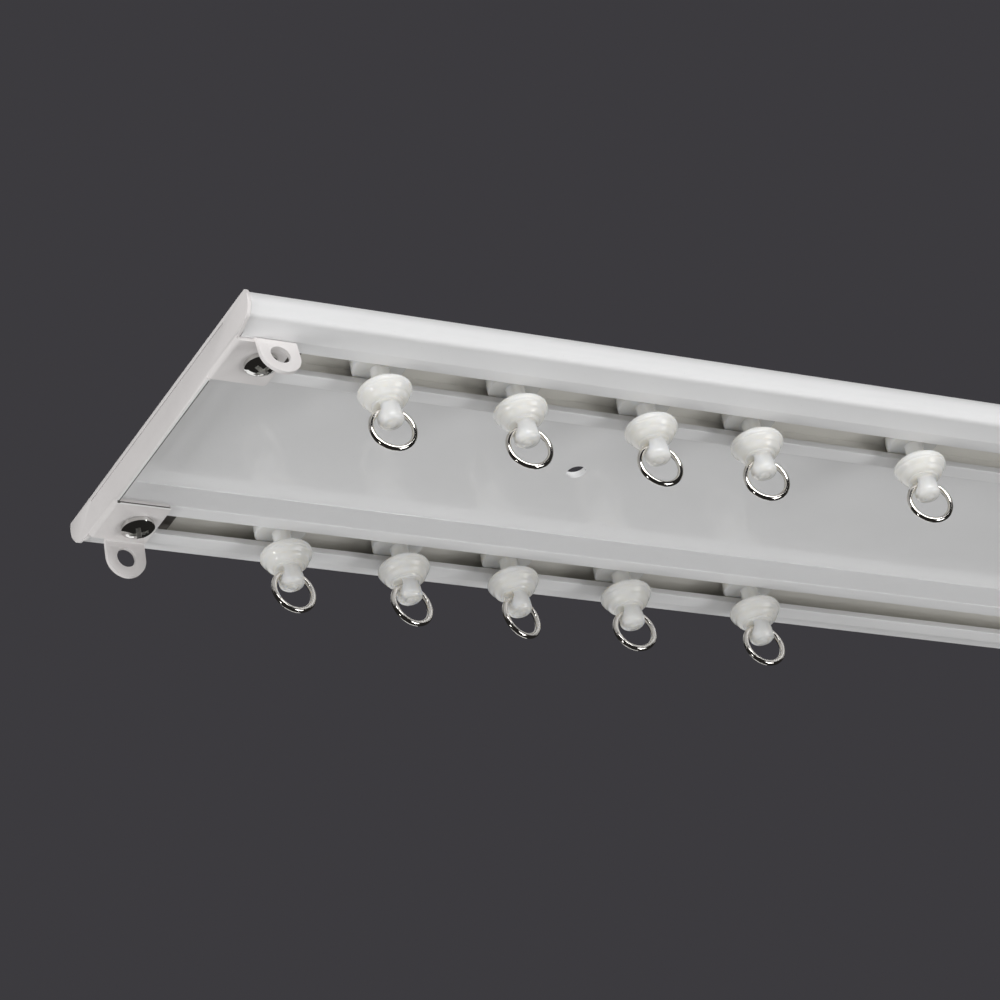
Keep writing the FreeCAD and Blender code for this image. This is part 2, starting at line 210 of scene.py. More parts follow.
class GliderSizes(bpy.types.PropertyGroup):
    """Gliders and their hook rings."""

    head_top: length("Head top", "Top of the head below the ceiling", 2.2)
    head_under: length("Head underside", "Underside of the head below the ceiling", 5.5)
    head: length("Head", "Radius of the head", 6.1)
    head_edge: length("Head edge", "Rounding of the head", 0.5)
    neck: length("Neck", "Radius of the neck", 2.15)
    dome_top: length("Dome top", "Top of the dome below the ceiling", 10.35)
    dome: length("Dome", "Radius of the dome's rim", 6.05)
    rim: length("Rim", "Rounding of the rim", 1.2)
    rim_bow: length("Rim bow", "Swell of the rim down to the groove", 0.1)
    groove_in: length("Groove depth", "How far the groove under the rim is cut in", 0.28)
    groove_drop: length("Groove drop", "Groove below the rim's widest line", 0.7)
    bell: length("Bell", "Radius of the bell under the groove", 5.8)
    bell_drop: length("Bell drop", "Groove to the top of the bell", 0.16)
    shoulder: length("Shoulder", "Radius where the bell turns inwards", 5.05)
    shoulder_drop: length("Shoulder drop", "Top of the bell to where it turns inwards", 0.98)
    shoulder_bow: length("Shoulder bow", "Swell of the bell's upper part", 0.05)
    bowl_drop: length("Bowl drop", "Height of the bell's lower part", 1.95)
    bowl: length("Bowl", "Radius of the bell's flat underside", 3.6)
    bowl_bow: length("Bowl bow", "Swell of the bell's lower part", 0.3)
    bowl_edge: length("Bowl edge", "Rounding where the bell meets its underside", 0.45)
    stem: length("Stem", "Radius of the stem under the bell", 2.7)
    stem_fillet: length("Stem fillet", "Fillet between the bell's underside and the stem", 0.42)
    bulb: length("Bulb", "Radius of the bulb", 2.95)
    bulb_drop: length("Bulb drop", "Bell's underside to the widest line of the bulb", 3.6)
    bulb_bow: length("Bulb bow", "Swell of the stem's side", 0.05)
    end_drop: length("End drop", "Widest line of the bulb to its end", 1.15)
    end: length("End", "Radius of the bulb's flat end", 1.4)
    end_bow: length("End bow", "Swell of the bulb's end", 0.4)
    end_crown: length("End crown", "Crown of the bulb's end", 0.36)
    eye: length("Eye", "Eye below the ceiling", 16.22)
    eye_clear: length("Eye clearance", "Gap between the wire and its eye", 0.1)
    eye_roof: length("Eye roof", "Flat roof of the eye above the wire's clearance", 0.08)
    eye_reach: length("Eye reach", "How far the eye's flare reaches from the middle", 3.25)
    ring: length("Ring", "Radius of a ring to the middle of its wire", 4.95)
    wire: length("Wire", "Radius of the ring's wire", 0.66)
    joint: angle("Wire joint", "Gap between the wire's ends, hidden in the eye", 2.5)
    facets: IntProperty(name="Facets", description="Faces round a glider", default=96, min=12)


class Finishes(bpy.types.PropertyGroup):
    """Colours of the painted, moulded and plated pieces, and of the stage."""

    track: colour("Track paint", "Gloss white paint of the extrusion", (0.83, 0.83, 0.835))
    # Painted shade: the inside of the channels is painted a little darker and warmer.
    channel_shade: colour("Bare channel", "Thinly painted inside of the channels", (0.79, 0.775, 0.735))
    cap: colour("Cap paint", "Satin warm white paint of the end caps", (0.81, 0.782, 0.775))
    # Painted highlight: near white painted on the rounded edges of the sheet
    edge_highlight: colour("Paint bead", "Thick paint along the sheet's edges", (0.94, 0.935, 0.925))
    # Painted shade in the gap and the corner notch where a cap meets the track
    seam: colour("Seam", "Dirt and shadow where a cap meets the track", (0.05, 0.047, 0.043))
    screw: colour("Screw plating", "Bright plating of the cap screws", (0.68, 0.675, 0.66))
    nut: colour("Nut plate", "Dull steel of the nut plates", (0.2, 0.185, 0.17))
    nylon: colour("Nylon", "Milky nylon of the gliders", (0.765, 0.755, 0.725))
    ring: colour("Ring plating", "Nickel plating of the rings", (0.76, 0.735, 0.7))
    floor: colour("Floor", "Pale floor", (0.72, 0.72, 0.71))
    backdrop: colour("Backdrop", "Dark grey behind the track", (0.0455, 0.0437, 0.0492))
    surround: colour("Surroundings", "Dim studio that the plated pieces mirror", (0.021, 0.02, 0.019))


class StageSettings(bpy.types.PropertyGroup):
    """Camera, floor and lights."""

    lens: FloatProperty(name="Lens", description="Focal length of the camera", default=166.57, unit="CAMERA")
    place: FloatVectorProperty(
        name="Camera place", description="Where the camera stands", subtype="TRANSLATION",
        default=(-0.612253, -0.714251, -0.558989),
    )
    azimuth: angle("Azimuth", "Camera direction round the track", -35.864)
    elevation: angle("Elevation", "Height angle of the camera", -31.81)
    roll: angle("Roll", "Roll of the camera", -13.533)
    floor: FloatProperty(name="Floor", description="Height of the floor", default=-1.7, unit="LENGTH")
    key: power("Key light", "Power of the softbox by the camera", 2.6)
    front: power("Front light", "Power of the front softbox", 27.0)
    left: power("Left light", "Power of the left softbox", 20.0)
    left_spot: power("Left spot", "Power of the small light mirrored on the left", 2.6)
    right: power("Right light", "Power of the right softbox", 7.5)
    right_spot: power("Right spot", "Power of the small light mirrored on the right", 2.6)
    back: power("Back light", "Power of the softbox behind", 5.0)
    top: power("Top light", "Power of the overhead softbox", 9.0)


class CurtainTrack(bpy.types.PropertyGroup):
    """All settings of the curtain track."""

    track: PointerProperty(type=TrackSizes)
    cap: PointerProperty(type=CapSizes)
    glider: PointerProperty(type=GliderSizes)
    finish: PointerProperty(type=Finishes)
    stage: PointerProperty(type=StageSettings)


def in_mm(sizes):
    """Lengths of a group of settings, by name, in millimetres."""
    names = [name for name, kind in sizes.bl_rna.properties.items() if kind.unit == "LENGTH"]
    return {name: getattr(sizes, name) / MM for name in names}


# Outlines, in millimetres

def arc_points(start, through, end, steps):
    """Points along the arc from start, through a point, to the end, without the start."""
    a, b, c = (Vector(p) for p in (start, through, end))
    matrix = Matrix((2 * (b - a), 2 * (c - a)))
    centre = matrix.inverted() @ Vector((b.dot(b) - a.dot(a), c.dot(c) - a.dot(a)))
    radius = (a - centre).length
    turns = [math.atan2(*reversed(p - centre)) for p in (a, b, c)]
    for i in (1, 2):
        while turns[i] - turns[i - 1] > math.pi:
            turns[i] -= 2 * math.pi
        while turns[i] - turns[i - 1] < -math.pi:
            turns[i] += 2 * math.pi
    found = []
    for i in range(1, steps + 1):
        turn = turns[0] + (turns[2] - turns[0]) * i / steps
        found.append(centre + radius * Vector((math.cos(turn), math.sin(turn))))
    return found


def bowed(start, end, bow, steps):
    """Arc that stands out from its chord by the bow, to the left of the way from start to end."""
    a, c = Vector(start), Vector(end)
    chord = c - a
    out = Vector((-chord.y, chord.x)).normalized()
    return arc_points(a, (a + c) / 2 + out * bow, c, steps)


def softened(corners, steps=4):
    """Closed outline from (point, rounding) pairs, with each corner rounded."""
    points = []
    count = len(corners)
    for i, (corner, rounding) in enumerate(corners):
        here = Vector(corner)
        before = Vector(corners[i - 1][0]) - here
        after = Vector(corners[(i + 1) % count][0]) - here
        if rounding <= 0 or before.angle(after) > NEARLY_STRAIGHT:
            points.append(here)
            continue
        half_angle = before.angle(after) / 2
        reach = rounding / math.tan(half_angle)
        reach = min(reach, before.length * CORNER_SHARE, after.length * CORNER_SHARE)
        start = here + before.normalized() * reach
        end = here + after.normalized() * reach
        middle = (start + end) / 2
        radius = reach * math.tan(half_angle)
        centre = here + (middle - here).normalized() * (radius / math.sin(half_angle))
        through = centre + (here - centre).normalized() * radius
        points.append(start)
        points += arc_points(start, through, end, steps)
    return points


def track_outline(s):
    """Closed cross-section of the extrusion, as (y, z)."""
    half, low = s["width"] / 2, -s["height"]
    lip_top, roof = low + s["lip"], -s["web"]
    slot_y = half - s["slot_inset"]
    slot_in, slot_out = slot_y - s["slot"] / 2, slot_y + s["slot"] / 2
    wall_out = slot_in - s["inner_lip"]
    wall_in = wall_out + s["wall"]
    slope = math.atan2(s["slope_rise"], s["foot_in"] - s["slope_in"])
    nose_normal = (math.pi / 2 - slope) / 2
    skin = s["skin"]
    top = (half, 0.0)
    nose = (half - s["nose_in"], low + s["nose_rise"])
    slope_start = (half - s["slope_in"], low + s["slope_rise"])
    swell = arc_points(top, (half + s["bulge"], -s["bulge_drop"]), nose, 14)
    turn = arc_points(nose, (half - s["turn_in"], low + s["turn_rise"]), slope_start, 8)
    foot_inside = s["slope_in"] + (skin / math.cos(slope) + s["slope_rise"] - s["lip"]) / math.tan(slope)
    slope_inside = (slope_start[0] - skin * math.sin(slope), slope_start[1] + skin * math.cos(slope))
    nose_inside = (nose[0] - skin * math.cos(nose_normal), nose[1] + skin * math.sin(nose_normal))
    side = [(top, s["edge"])]
    side += [(point, 0.0) for point in swell + turn]
    side += [
        ((half - s["foot_in"], low), s["edge"]),
        ((slot_out, low), s["edge"]),
        ((slot_out, lip_top), s["inner_edge"]),
        ((half - foot_inside, lip_top), 0.0),
        (slope_inside, 0.0),
        (nose_inside, 0.0),
        ((half - skin + s["bulge"], roof), 0.0),
        ((wall_in, roof), s["inner_edge"]),
        ((wall_in, lip_top), s["inner_edge"]),
        ((slot_in, lip_top), s["inner_edge"]),
        ((slot_in, low), s["edge"]),
        ((wall_out, low), s["edge"]),
        ((wall_out, roof), s["edge"]),
    ]
    mirrored = [((-point[0], point[1]), rounding) for point, rounding in reversed(side)]
    return softened(side + mirrored)


def glider_outline(s):
    """Half outline of a glider from its top to its end, as (radius, z)."""
    top, under, edge = -s["head_top"], -s["head_under"], s["head_edge"]
    head, neck, dome_top = s["head"], s["neck"], -s["dome_top"]
    soft = edge * QUARTER_IN
    fillet = neck * NECK_FILLET
    fillet_mid = fillet * QUARTER_IN
    points = [Vector((0, top)), Vector((head - edge, top))]
    points += arc_points(points[-1], (head - soft, top - soft), (head, top - edge), 6)
    points.append(Vector((head, under + edge)))
    points += arc_points(points[-1], (head - soft, under + soft), (head - edge, under), 6)
    points.append(Vector((neck + fillet, under)))
    points += arc_points(points[-1], (neck + fillet_mid, under - fillet_mid), (neck, under - fillet), 4)
    points.append(Vector((neck, dome_top + fillet)))
    points += arc_points(
        points[-1], (neck + fillet_mid, dome_top + fillet_mid), (neck + fillet, dome_top), 4
    )
    rim_z = dome_top - s["rim"]
    rim_in = s["rim"] * QUARTER_IN
    points.append(Vector((s["dome"] - s["rim"], dome_top)))
    points += arc_points(points[-1], (s["dome"] - rim_in, dome_top - rim_in), (s["dome"], rim_z), 10)
    groove = Vector((s["dome"] - s["groove_in"], rim_z - s["groove_drop"]))
    bell = Vector((s["bell"], groove.y - s["bell_drop"]))
    shoulder = Vector((s["shoulder"], bell.y - s["shoulder_drop"]))
    under_z = shoulder.y - s["bowl_drop"]
    bowl = Vector((s["bowl"], under_z + s["bowl_edge"]))
    flat = Vector((s["bowl"] - s["bowl_edge"], under_z))
    root = Vector((s["stem"] + s["stem_fillet"], under_z))
    stem = Vector((s["stem"], under_z - s["stem_fillet"]))
    bulb = Vector((s["bulb"], under_z - s["bulb_drop"]))
    end = Vector((s["end"], bulb.y - s["end_drop"]))
    points += bowed(points[-1], groove, s["rim_bow"], 6)
    points.append(bell)
    points += bowed(bell, shoulder, s["shoulder_bow"], 4)
    points += bowed(shoulder, bowl, s["bowl_bow"], 10)
    points += bowed(bowl, flat, s["bowl_edge"] * QUARTER_BOW, 5)
    points.append(root)
    points += bowed(root, stem, -s["stem_fillet"] * QUARTER_BOW, 5)
    points += bowed(stem, bulb, s["bulb_bow"], 8)
    points += bowed(bulb, end, s["end_bow"], 8)
    points += bowed(end, (0, end.y - s["end_crown"]), s["end_crown"] / 2, 6)
    return points


def screw_outline(s):
    """Half outline of a cap screw from the tip of its shank to its crown, as (radius, z)."""
    under = -s["tab_under"]
    side = under - s["head_side"]
    rim, shank = s["head"] / 2, s["screw"] / 2 - SHANK_IN
    tip = under + s["screw_run"]
    points = [
        Vector((0, tip)), Vector((shank - TIP_CUT, tip)), Vector((shank, tip - TIP_CUT)),
        Vector((shank, under)), Vector((rim - HEAD_CUT, under)), Vector((rim, under - HEAD_CUT)),
        Vector((rim, side)),
    ]
    points += bowed(points[-1], (0, side - s["crown"]), s["crown_bow"], 14)
    return points


# Nodes

def feed(tree, socket, value):
    """Links a socket to another one, or sets its value."""
    if isinstance(value, bpy.types.NodeSocket):
        tree.links.new(value, socket)
    else:
        socket.default_value = value


def node(tree, kind, settings=None, **inputs):
    """Adds a node. Its inputs go by name, with underscores for spaces, or by an i and their number."""
    made = tree.nodes.new(kind)
    for key, value in (settings or {}).items():
        setattr(made, key, value)
    for key, value in inputs.items():
        numbered = key[0] == "i" and key[1:].isdigit()
        feed(tree, made.inputs[int(key[1:]) if numbered else key.replace("_", " ")], value)
    return made


def maths(tree, operation, first, second=0.0):
    """Output of a Math node."""
    return node(tree, "ShaderNodeMath", {"operation": operation}, i0=first, i1=second).outputs[0]


def times(tree, first, second):
    """Product of two values."""
    return maths(tree, "MULTIPLY", first, second)


def plus(tree, first, second):
    """Sum of two values."""
    return maths(tree, "ADD", first, second)


def minus(tree, first, second):
    """First value less the second."""
    return maths(tree, "SUBTRACT", first, second)


def vector(tree, **parts):
    """Vector from its X, Y and Z; what isn't given is 0."""
    return node(tree, "ShaderNodeCombineXYZ", **parts).outputs[0]


def parts_of(tree, source):
    """X, Y and Z of a vector."""
    return node(tree, "ShaderNodeSeparateXYZ", Vector=source).outputs


# Geometry node trees, in millimetres

def new_tree(name, floats=(), whole=(), painted=True):
    """Geometry node group with a geometry input and output, number inputs and, if painted, a material."""
    tree = bpy.data.node_groups.new(name, "GeometryNodeTree")
    sockets = [("Geometry", "Geometry")]
    sockets += [(label, "Int") for label in whole]
    sockets += [(label, "Float") for label in floats]
    if painted:
        sockets.append(("Material", "Material"))
    for label, kind in sockets:
        tree.interface.new_socket(label, in_out="INPUT", socket_type=f"NodeSocket{kind}")
    tree.interface.new_socket("Geometry", in_out="OUTPUT", socket_type="NodeSocketGeometry")
    start = tree.nodes.new("NodeGroupInput")
    end = tree.nodes.new("NodeGroupOutput")
    return tree, start.outputs, end.inputs


def placed(tree, geometry, **ways):
    """Geometry moved, turned or scaled."""
    return node(tree, "GeometryNodeTransform", Geometry=geometry, **ways).outputs[0]


def position(tree):
    """Place of each point."""
    return node(tree, "GeometryNodeInputPosition").outputs[0]


def merged(tree, geometry, distance):
    """Geometry with the points that lie together made one."""
    return node(tree, "GeometryNodeMergeByDistance", Geometry=geometry, Distance=distance).outputs[0]


def joined(tree, *pieces):
    """Several geometries as one."""
    join = tree.nodes.new("GeometryNodeJoinGeometry")
    for piece in pieces:
        tree.links.new(piece, join.inputs[0])
    return join.outputs[0]


def finish_tree(tree, geometry, given, out):
    """Scales millimetres to metres, realises instances and sets the material."""
    scaled = placed(tree, geometry, Scale=(MM, MM, MM))
    real = node(tree, "GeometryNodeRealizeInstances", Geometry=scaled).outputs[0]
    painted = node(tree, "GeometryNodeSetMaterial", Geometry=real, Material=given["Material"]).outputs[0]
    tree.links.new(painted, out["Geometry"])
    return tree


def turned_group(name):
    """Node group that turns a half outline round the upright axis."""
    tree, given, out = new_tree(name, whole=("Facets",), painted=False)
    points = node(tree, "GeometryNodeAttributeDomainSize", {"component": "MESH"}, Geometry=given["Geometry"])
    count = points.outputs["Point Count"]
    grid = node(
        tree, "GeometryNodeMeshGrid", Size_X=1.0, Size_Y=1.0,
        Vertices_X=plus(tree, given["Facets"], 1.0), Vertices_Y=count,
    ).outputs["Mesh"]
    index = node(tree, "GeometryNodeInputIndex").outputs[0]
    row = maths(tree, "MODULO", index, count)
    column = maths(tree, "FLOOR", maths(tree, "DIVIDE", index, count))
    sampled = node(
        tree, "GeometryNodeSampleIndex", {"data_type": "FLOAT_VECTOR", "domain": "POINT"},
        Geometry=given["Geometry"], Value=position(tree), Index=row,
    ).outputs[0]
    parts = parts_of(tree, sampled)
    turn = maths(tree, "DIVIDE", times(tree, column, 2 * math.pi), given["Facets"])
    moved = vector(
        tree,
        X=times(tree, parts["X"], maths(tree, "COSINE", turn)),
        Y=times(tree, parts["X"], maths(tree, "SINE", turn)),
        Z=parts["Z"],
    )
    swept = node(tree, "GeometryNodeSetPosition", Geometry=grid, Position=moved).outputs[0]
    tree.links.new(merged(tree, swept, MERGE_TURNED), out["Geometry"])
    return tree


def turned(tree, outline, facets):
    """Half outline turned round the upright axis."""
    name = "Turned outline"
    group = bpy.data.node_groups.get(name) or turned_group(name)
    made = node(tree, "GeometryNodeGroup", {"node_tree": group}, Geometry=outline, Facets=facets)
    return made.outputs["Geometry"]


def cut_away(tree, body, tool):
    """Body with the tool cut out of it."""
    settings = {"operation": "DIFFERENCE", "solver": "EXACT"}
    return node(tree, "GeometryNodeMeshBoolean", settings, Mesh_1=body, Mesh_2=tool).outputs["Mesh"]


def solid_from_outline(tree, curve, depth):
    """Closed outline in the XY plane, filled and raised along Z."""
    face = node(tree, "GeometryNodeFillCurve", {"mode": "NGONS"}, Curve=curve).outputs["Mesh"]
    raised = node(
        tree, "GeometryNodeExtrudeMesh", {"mode": "FACES"},
        Mesh=face, Offset=(0.0, 0.0, 1.0), Offset_Scale=depth, Individual=False,
    ).outputs["Mesh"]
    under = node(tree, "GeometryNodeFlipFaces", Mesh=face).outputs["Mesh"]
    return merged(tree, joined(tree, raised, under), MERGE_RAISED)


def track_tree():
    """Extrusion of a closed section along X, with a row of screw holes through the web."""
    tree, given, out = new_tree("Track extrusion", ("Length", "Hole radius", "Hole spacing"))
    curve = node(tree, "GeometryNodeMeshToCurve", Mesh=given["Geometry"]).outputs[0]
    raised = solid_from_outline(tree, curve, given["Length"])
    start = vector(tree, X=times(tree, given["Length"], -0.5))
    laid = placed(tree, raised, Translation=start, Rotation=(math.pi / 2, 0.0, math.pi / 2))
    drill = node(
        tree, "GeometryNodeMeshCylinder",
        Vertices=DRILL_FACETS, Radius=given["Hole radius"], Depth=DRILL_DEPTH,
    ).outputs["Mesh"]
    first = vector(tree, X=times(tree, given["Hole spacing"], -0.5))
    step = vector(tree, X=given["Hole spacing"])
    row = node(tree, "GeometryNodeMeshLine", Count=2, Start_Location=first, Offset=step).outputs[0]
    drills = node(tree, "GeometryNodeInstanceOnPoints", Points=row, Instance=drill).outputs[0]
    drills = node(tree, "GeometryNodeRealizeInstances", Geometry=drills).outputs[0]
    return finish_tree(tree, cut_away(tree, laid, drills), given, out)


def glider_tree():
    """Turned glider with a flared, flat-roofed eye along X."""
    tree, given, out = new_tree(
        "Glider", ("Eye height", "Eye reach", "Ring radius", "Throat radius", "Roof"), whole=("Facets",)
    )
    body = turned(tree, given["Geometry"], given["Facets"])
    rod = node(
        tree, "GeometryNodeMeshCylinder", Vertices=DRILL_FACETS, Side_Segments=32, Radius=1.0,
        Depth=times(tree, given["Eye reach"], 2.0),
    ).outputs["Mesh"]
    parts = parts_of(tree, position(tree))
    throat = times(tree, given["Throat radius"], given["Throat radius"])
    along = times(tree, parts["Z"], parts["Z"])
    flare = minus(tree, given["Ring radius"], maths(tree, "SQRT", minus(tree, throat, along)))
    roof = times(tree, given["Roof"], -1.0)
    moved = vector(
        tree,
        X=maths(tree, "MAXIMUM", times(tree, parts["X"], flare), roof),
        Y=times(tree, parts["Y"], flare),
        Z=parts["Z"],
    )
    flared = node(tree, "GeometryNodeSetPosition", Geometry=rod, Position=moved).outputs[0]
    height = vector(tree, Z=given["Eye height"])
    eye = placed(tree, flared, Translation=height, Rotation=(0.0, math.pi / 2, 0.0))
    return finish_tree(tree, cut_away(tree, body, eye), given, out)


def ring_tree():
    """Ring bent from round wire, in the XZ plane, with its joint at the top."""
    tree, given, out = new_tree("Wire ring", ("Ring radius", "Wire radius", "Joint", "Height"))
    start = plus(tree, times(tree, given["Joint"], 0.5), math.pi / 2)
    arc = node(
        tree, "GeometryNodeCurveArc", {"mode": "RADIUS"}, Resolution=97, Radius=given["Ring radius"],
        Start_Angle=start, Sweep_Angle=minus(tree, 2 * math.pi, given["Joint"]),
    ).outputs["Curve"]
    section = node(
        tree, "GeometryNodeCurvePrimitiveCircle", {"mode": "RADIUS"},
        Resolution=20, Radius=given["Wire radius"],
    ).outputs["Curve"]
    wire = node(
        tree, "GeometryNodeCurveToMesh", Curve=arc, Profile_Curve=section, Fill_Caps=True
    ).outputs["Mesh"]
    height = vector(tree, Z=given["Height"])
    hung = placed(tree, wire, Translation=height, Rotation=(math.pi / 2, 0.0, 0.0))
    return finish_tree(tree, hung, given, out)


def at_four_corners(tree, given, piece, turn):
    """Copies of a piece at the four places where the caps are fastened, each turned about its axis."""
    corners = node(
        tree, "GeometryNodeMeshGrid", Vertices_X=2, Vertices_Y=2,
        Size_X=times(tree, given["Place X"], 2.0), Size_Y=times(tree, given["Place Y"], 2.0),
    ).outputs["Mesh"]
    spin = node(tree, "FunctionNodeEulerToRotation", Euler=vector(tree, Z=turn)).outputs[0]
    return node(
        tree, "GeometryNodeInstanceOnPoints", Points=corners, Instance=piece, Rotation=spin
    ).outputs[0]


def screw_tree():
    """Four pan-head screws with cross recesses and threads."""
    tree, given, out = new_tree(
        "Cap screws",
        (
            "Cross length", "Cross width", "Cross depth", "Crown height", "Head underside",
            "Shank radius", "Shank length", "Pitch", "Place X", "Place Y",
        ),
    )
    body = turned(tree, given["Geometry"], SCREW_FACETS)
    tall = times(tree, given["Cross depth"], 2.0)
    crown = vector(tree, Z=given["Crown height"])
    for first, second in (("Cross length", "Cross width"), ("Cross width", "Cross length")):
        wing = node(
            tree, "GeometryNodeMeshCube", Vertices_X=3, Vertices_Y=3, Vertices_Z=3,
            Size=vector(tree, X=given[first], Y=given[second], Z=tall),
        ).outputs["Mesh"]
        parts = parts_of(tree, position(tree))
        rise = maths(tree, "DIVIDE", parts["Z"], given["Cross depth"])
        taper = minus(tree, 1.0, times(tree, maths(tree, "MAXIMUM", rise, 0.0), CROSS_TAPER))
        moved = vector(
            tree, X=times(tree, parts["X"], taper), Y=times(tree, parts["Y"], taper), Z=parts["Z"]
        )
        tapered = node(tree, "GeometryNodeSetPosition", Geometry=wing, Position=moved).outputs[0]
        body = cut_away(tree, body, placed(tree, tapered, Translation=crown))
    helix = node(
        tree, "GeometryNodeCurveSpiral", Resolution=32,
        Rotations=maths(tree, "DIVIDE", given["Shank length"], given["Pitch"]),
        Start_Radius=given["Shank radius"], End_Radius=given["Shank radius"], Height=given["Shank length"],
    ).outputs[0]
    flank = node(
        tree, "GeometryNodeCurvePrimitiveCircle", {"mode": "RADIUS"}, Resolution=6,
        Radius=times(tree, given["Pitch"], THREAD_SHARE),
    ).outputs["Curve"]
    thread = node(
        tree, "GeometryNodeCurveToMesh", Curve=helix, Profile_Curve=flank, Fill_Caps=True
    ).outputs["Mesh"]
    thread = placed(tree, thread, Translation=vector(tree, Z=given["Head underside"]))
    index = node(tree, "GeometryNodeInputIndex").outputs[0]
    turn = plus(tree, times(tree, index, NEXT_TURN), FIRST_TURN)
    spread = at_four_corners(tree, given, joined(tree, body, thread), turn)
    return finish_tree(tree, spread, given, out)


def nut_tree():
    """Four rounded nut plates with screw holes; each hole lies nearer to its end of the track."""
    tree, given, out = new_tree(
        "Nut plates",
        (
            "Length", "Width", "Thickness", "Corner", "Hole radius", "Hole shift", "Underside",
            "Place X", "Place Y",
        ),
    )
    blank = node(
        tree, "GeometryNodeCurvePrimitiveQuadrilateral", {"mode": "RECTANGLE"},
        Width=given["Length"], Height=given["Width"],
    ).outputs[0]
    rounded = node(
        tree, "GeometryNodeFilletCurve", {"mode": "POLY"}, Curve=blank, Count=6, Radius=given["Corner"]
    ).outputs[0]
    plate = solid_from_outline(tree, rounded, given["Thickness"])
    drill = node(
        tree, "GeometryNodeMeshCylinder",
        Vertices=NUT_DRILL_FACETS, Radius=given["Hole radius"], Depth=DRILL_DEPTH,
    ).outputs[0]
    drill = placed(tree, drill, Translation=vector(tree, X=given["Hole shift"]))
    plate = placed(tree, cut_away(tree, plate, drill), Translation=vector(tree, Z=given["Underside"]))
    index = node(tree, "GeometryNodeInputIndex").outputs[0]
    right_end = maths(tree, "GREATER_THAN", index, 1.5)
    spread = at_four_corners(tree, given, plate, times(tree, right_end, math.pi))
    return finish_tree(tree, spread, given, out)


# Meshes and objects

def made_by(tree, outline, closed, values):
    """Plain mesh that a node tree makes from an outline and its input values."""
    mesh = bpy.data.meshes.new("outline")
    count = len(outline)
    edges = [(i, i + 1) for i in range(count - 1)]
    if closed:
        edges.append((count - 1, 0))
    mesh.from_pydata(outline, edges, [])
    holder = bpy.data.objects.new("outline", mesh)
    bpy.context.scene.collection.objects.link(holder)
    modifier = holder.modifiers.new("shape", "NODES")
    modifier.node_group = tree
    sockets = {
        item.name: item.identifier
        for item in tree.interface.items_tree
        if item.item_type == "SOCKET" and item.in_out == "INPUT"
    }
    for name, value in values.items():
        modifier[sockets[name]] = value
    bpy.context.view_layer.update()
    depsgraph = bpy.context.evaluated_depsgraph_get()
    made = bpy.data.meshes.new_from_object(holder.evaluated_get(depsgraph))
    holder.modifiers.remove(modifier)
    bpy.data.objects.remove(holder)
    bpy.data.meshes.remove(mesh)
    if not made.polygons:
        raise RuntimeError(f"{tree.name} made no faces")
    return made


def tidy_mesh(mesh, sharp_degrees):
    """Merges doubles, turns faces outwards and shades smooth up to an angle."""
    work = bmesh.new()
    work.from_mesh(mesh)
    bmesh.ops.remove_doubles(work, verts=work.verts, dist=MERGE_PIECE)
    bmesh.ops.recalc_face_normals(work, faces=work.faces)
    for face in work.faces:
        face.smooth = True
    work.to_mesh(mesh)
    work.free()
    mesh.set_sharp_from_angle(angle=math.radians(sharp_degrees))


def show(mesh, name, body, nodes):
    """Object for a finished mesh that rides on a body and stands for CAD nodes."""
    mesh.name = name
    piece = bpy.data.objects.new(name, mesh)
    bpy.context.scene.collection.objects.link(piece)
    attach(piece, body)
    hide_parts(*nodes)
    return piece


def show_hanging(made, piece, node_name):
    """One copy of a mesh at each glider's place."""
    for row, number, place in hanging_places():
        mesh = made.copy()
        mesh.transform(place)
        name = f"{row}_{node_name}_{number}"
        show(mesh, f"{row}_{piece}_{number}", name, [name])
    bpy.data.meshes.remove(made)


def hanging_places():
    """(row, number, place) of each glider: where its axis stands and how it is turned."""
    for row in ROWS:
        number = 1
        while f"{row}_ring_{number}" in RECORD_JOINTS:
            joint = RECORD_JOINTS[f"{row}_ring_{number}"]
            x, y, _ = joint["pos_m"]
            turn = math.atan2(joint["axis"][1], joint["axis"][0])
            yield row, number, Matrix.Translation((x, y, 0.0)) @ Matrix.Rotation(turn, 4, "Z")
            number += 1


def upright(outline):
    """Half outline, given as (radius, z), in the XZ plane."""
    return [(radius, 0.0, z) for radius, z in outline]


# Finishes

def ranged(tree, value, low, high):
    """Value between 0 and 1 mapped to a range."""
    return node(
        tree, "ShaderNodeMapRange", Value=value, From_Min=0.0, From_Max=1.0, To_Min=low, To_Max=high
    ).outputs[0]


def step_mask(tree, value, edge, soft, before, after):
    """Soft step from one value to another as the value passes an edge."""
    return node(
        tree, "ShaderNodeMapRange", {"interpolation_type": "SMOOTHSTEP"},
        Value=value, From_Min=edge - soft, From_Max=edge + soft, To_Min=before, To_Max=after,
    ).outputs[0]


def band(tree, value, low, high, soft):
    """Mask that is 1 where the value lies between low and high."""
    rise = step_mask(tree, value, low, soft, 0.0, 1.0)
    fall = step_mask(tree, value, high, soft, 1.0, 0.0)
    return times(tree, rise, fall)


def mixed(tree, factor, first, second):
    """Colour between two colours."""
    return node(tree, "ShaderNodeMix", {"data_type": "RGBA"}, i0=factor, i6=first, i7=second).outputs[2]


def between(tree, factor, first, second):
    """Number between two numbers."""
    return node(tree, "ShaderNodeMix", i0=factor, i2=first, i3=second).outputs[0]


def rgba(value, factor=1.0):
    """Colour with alpha, scaled."""
    return (*(min(1.0, c * factor) for c in value), 1.0)


def cloudy(tree, cloud, base, spread):
    """Colour that strays a little to both sides of its base."""
    return mixed(tree, cloud, rgba(base, 1 - spread), rgba(base, 1 + spread))


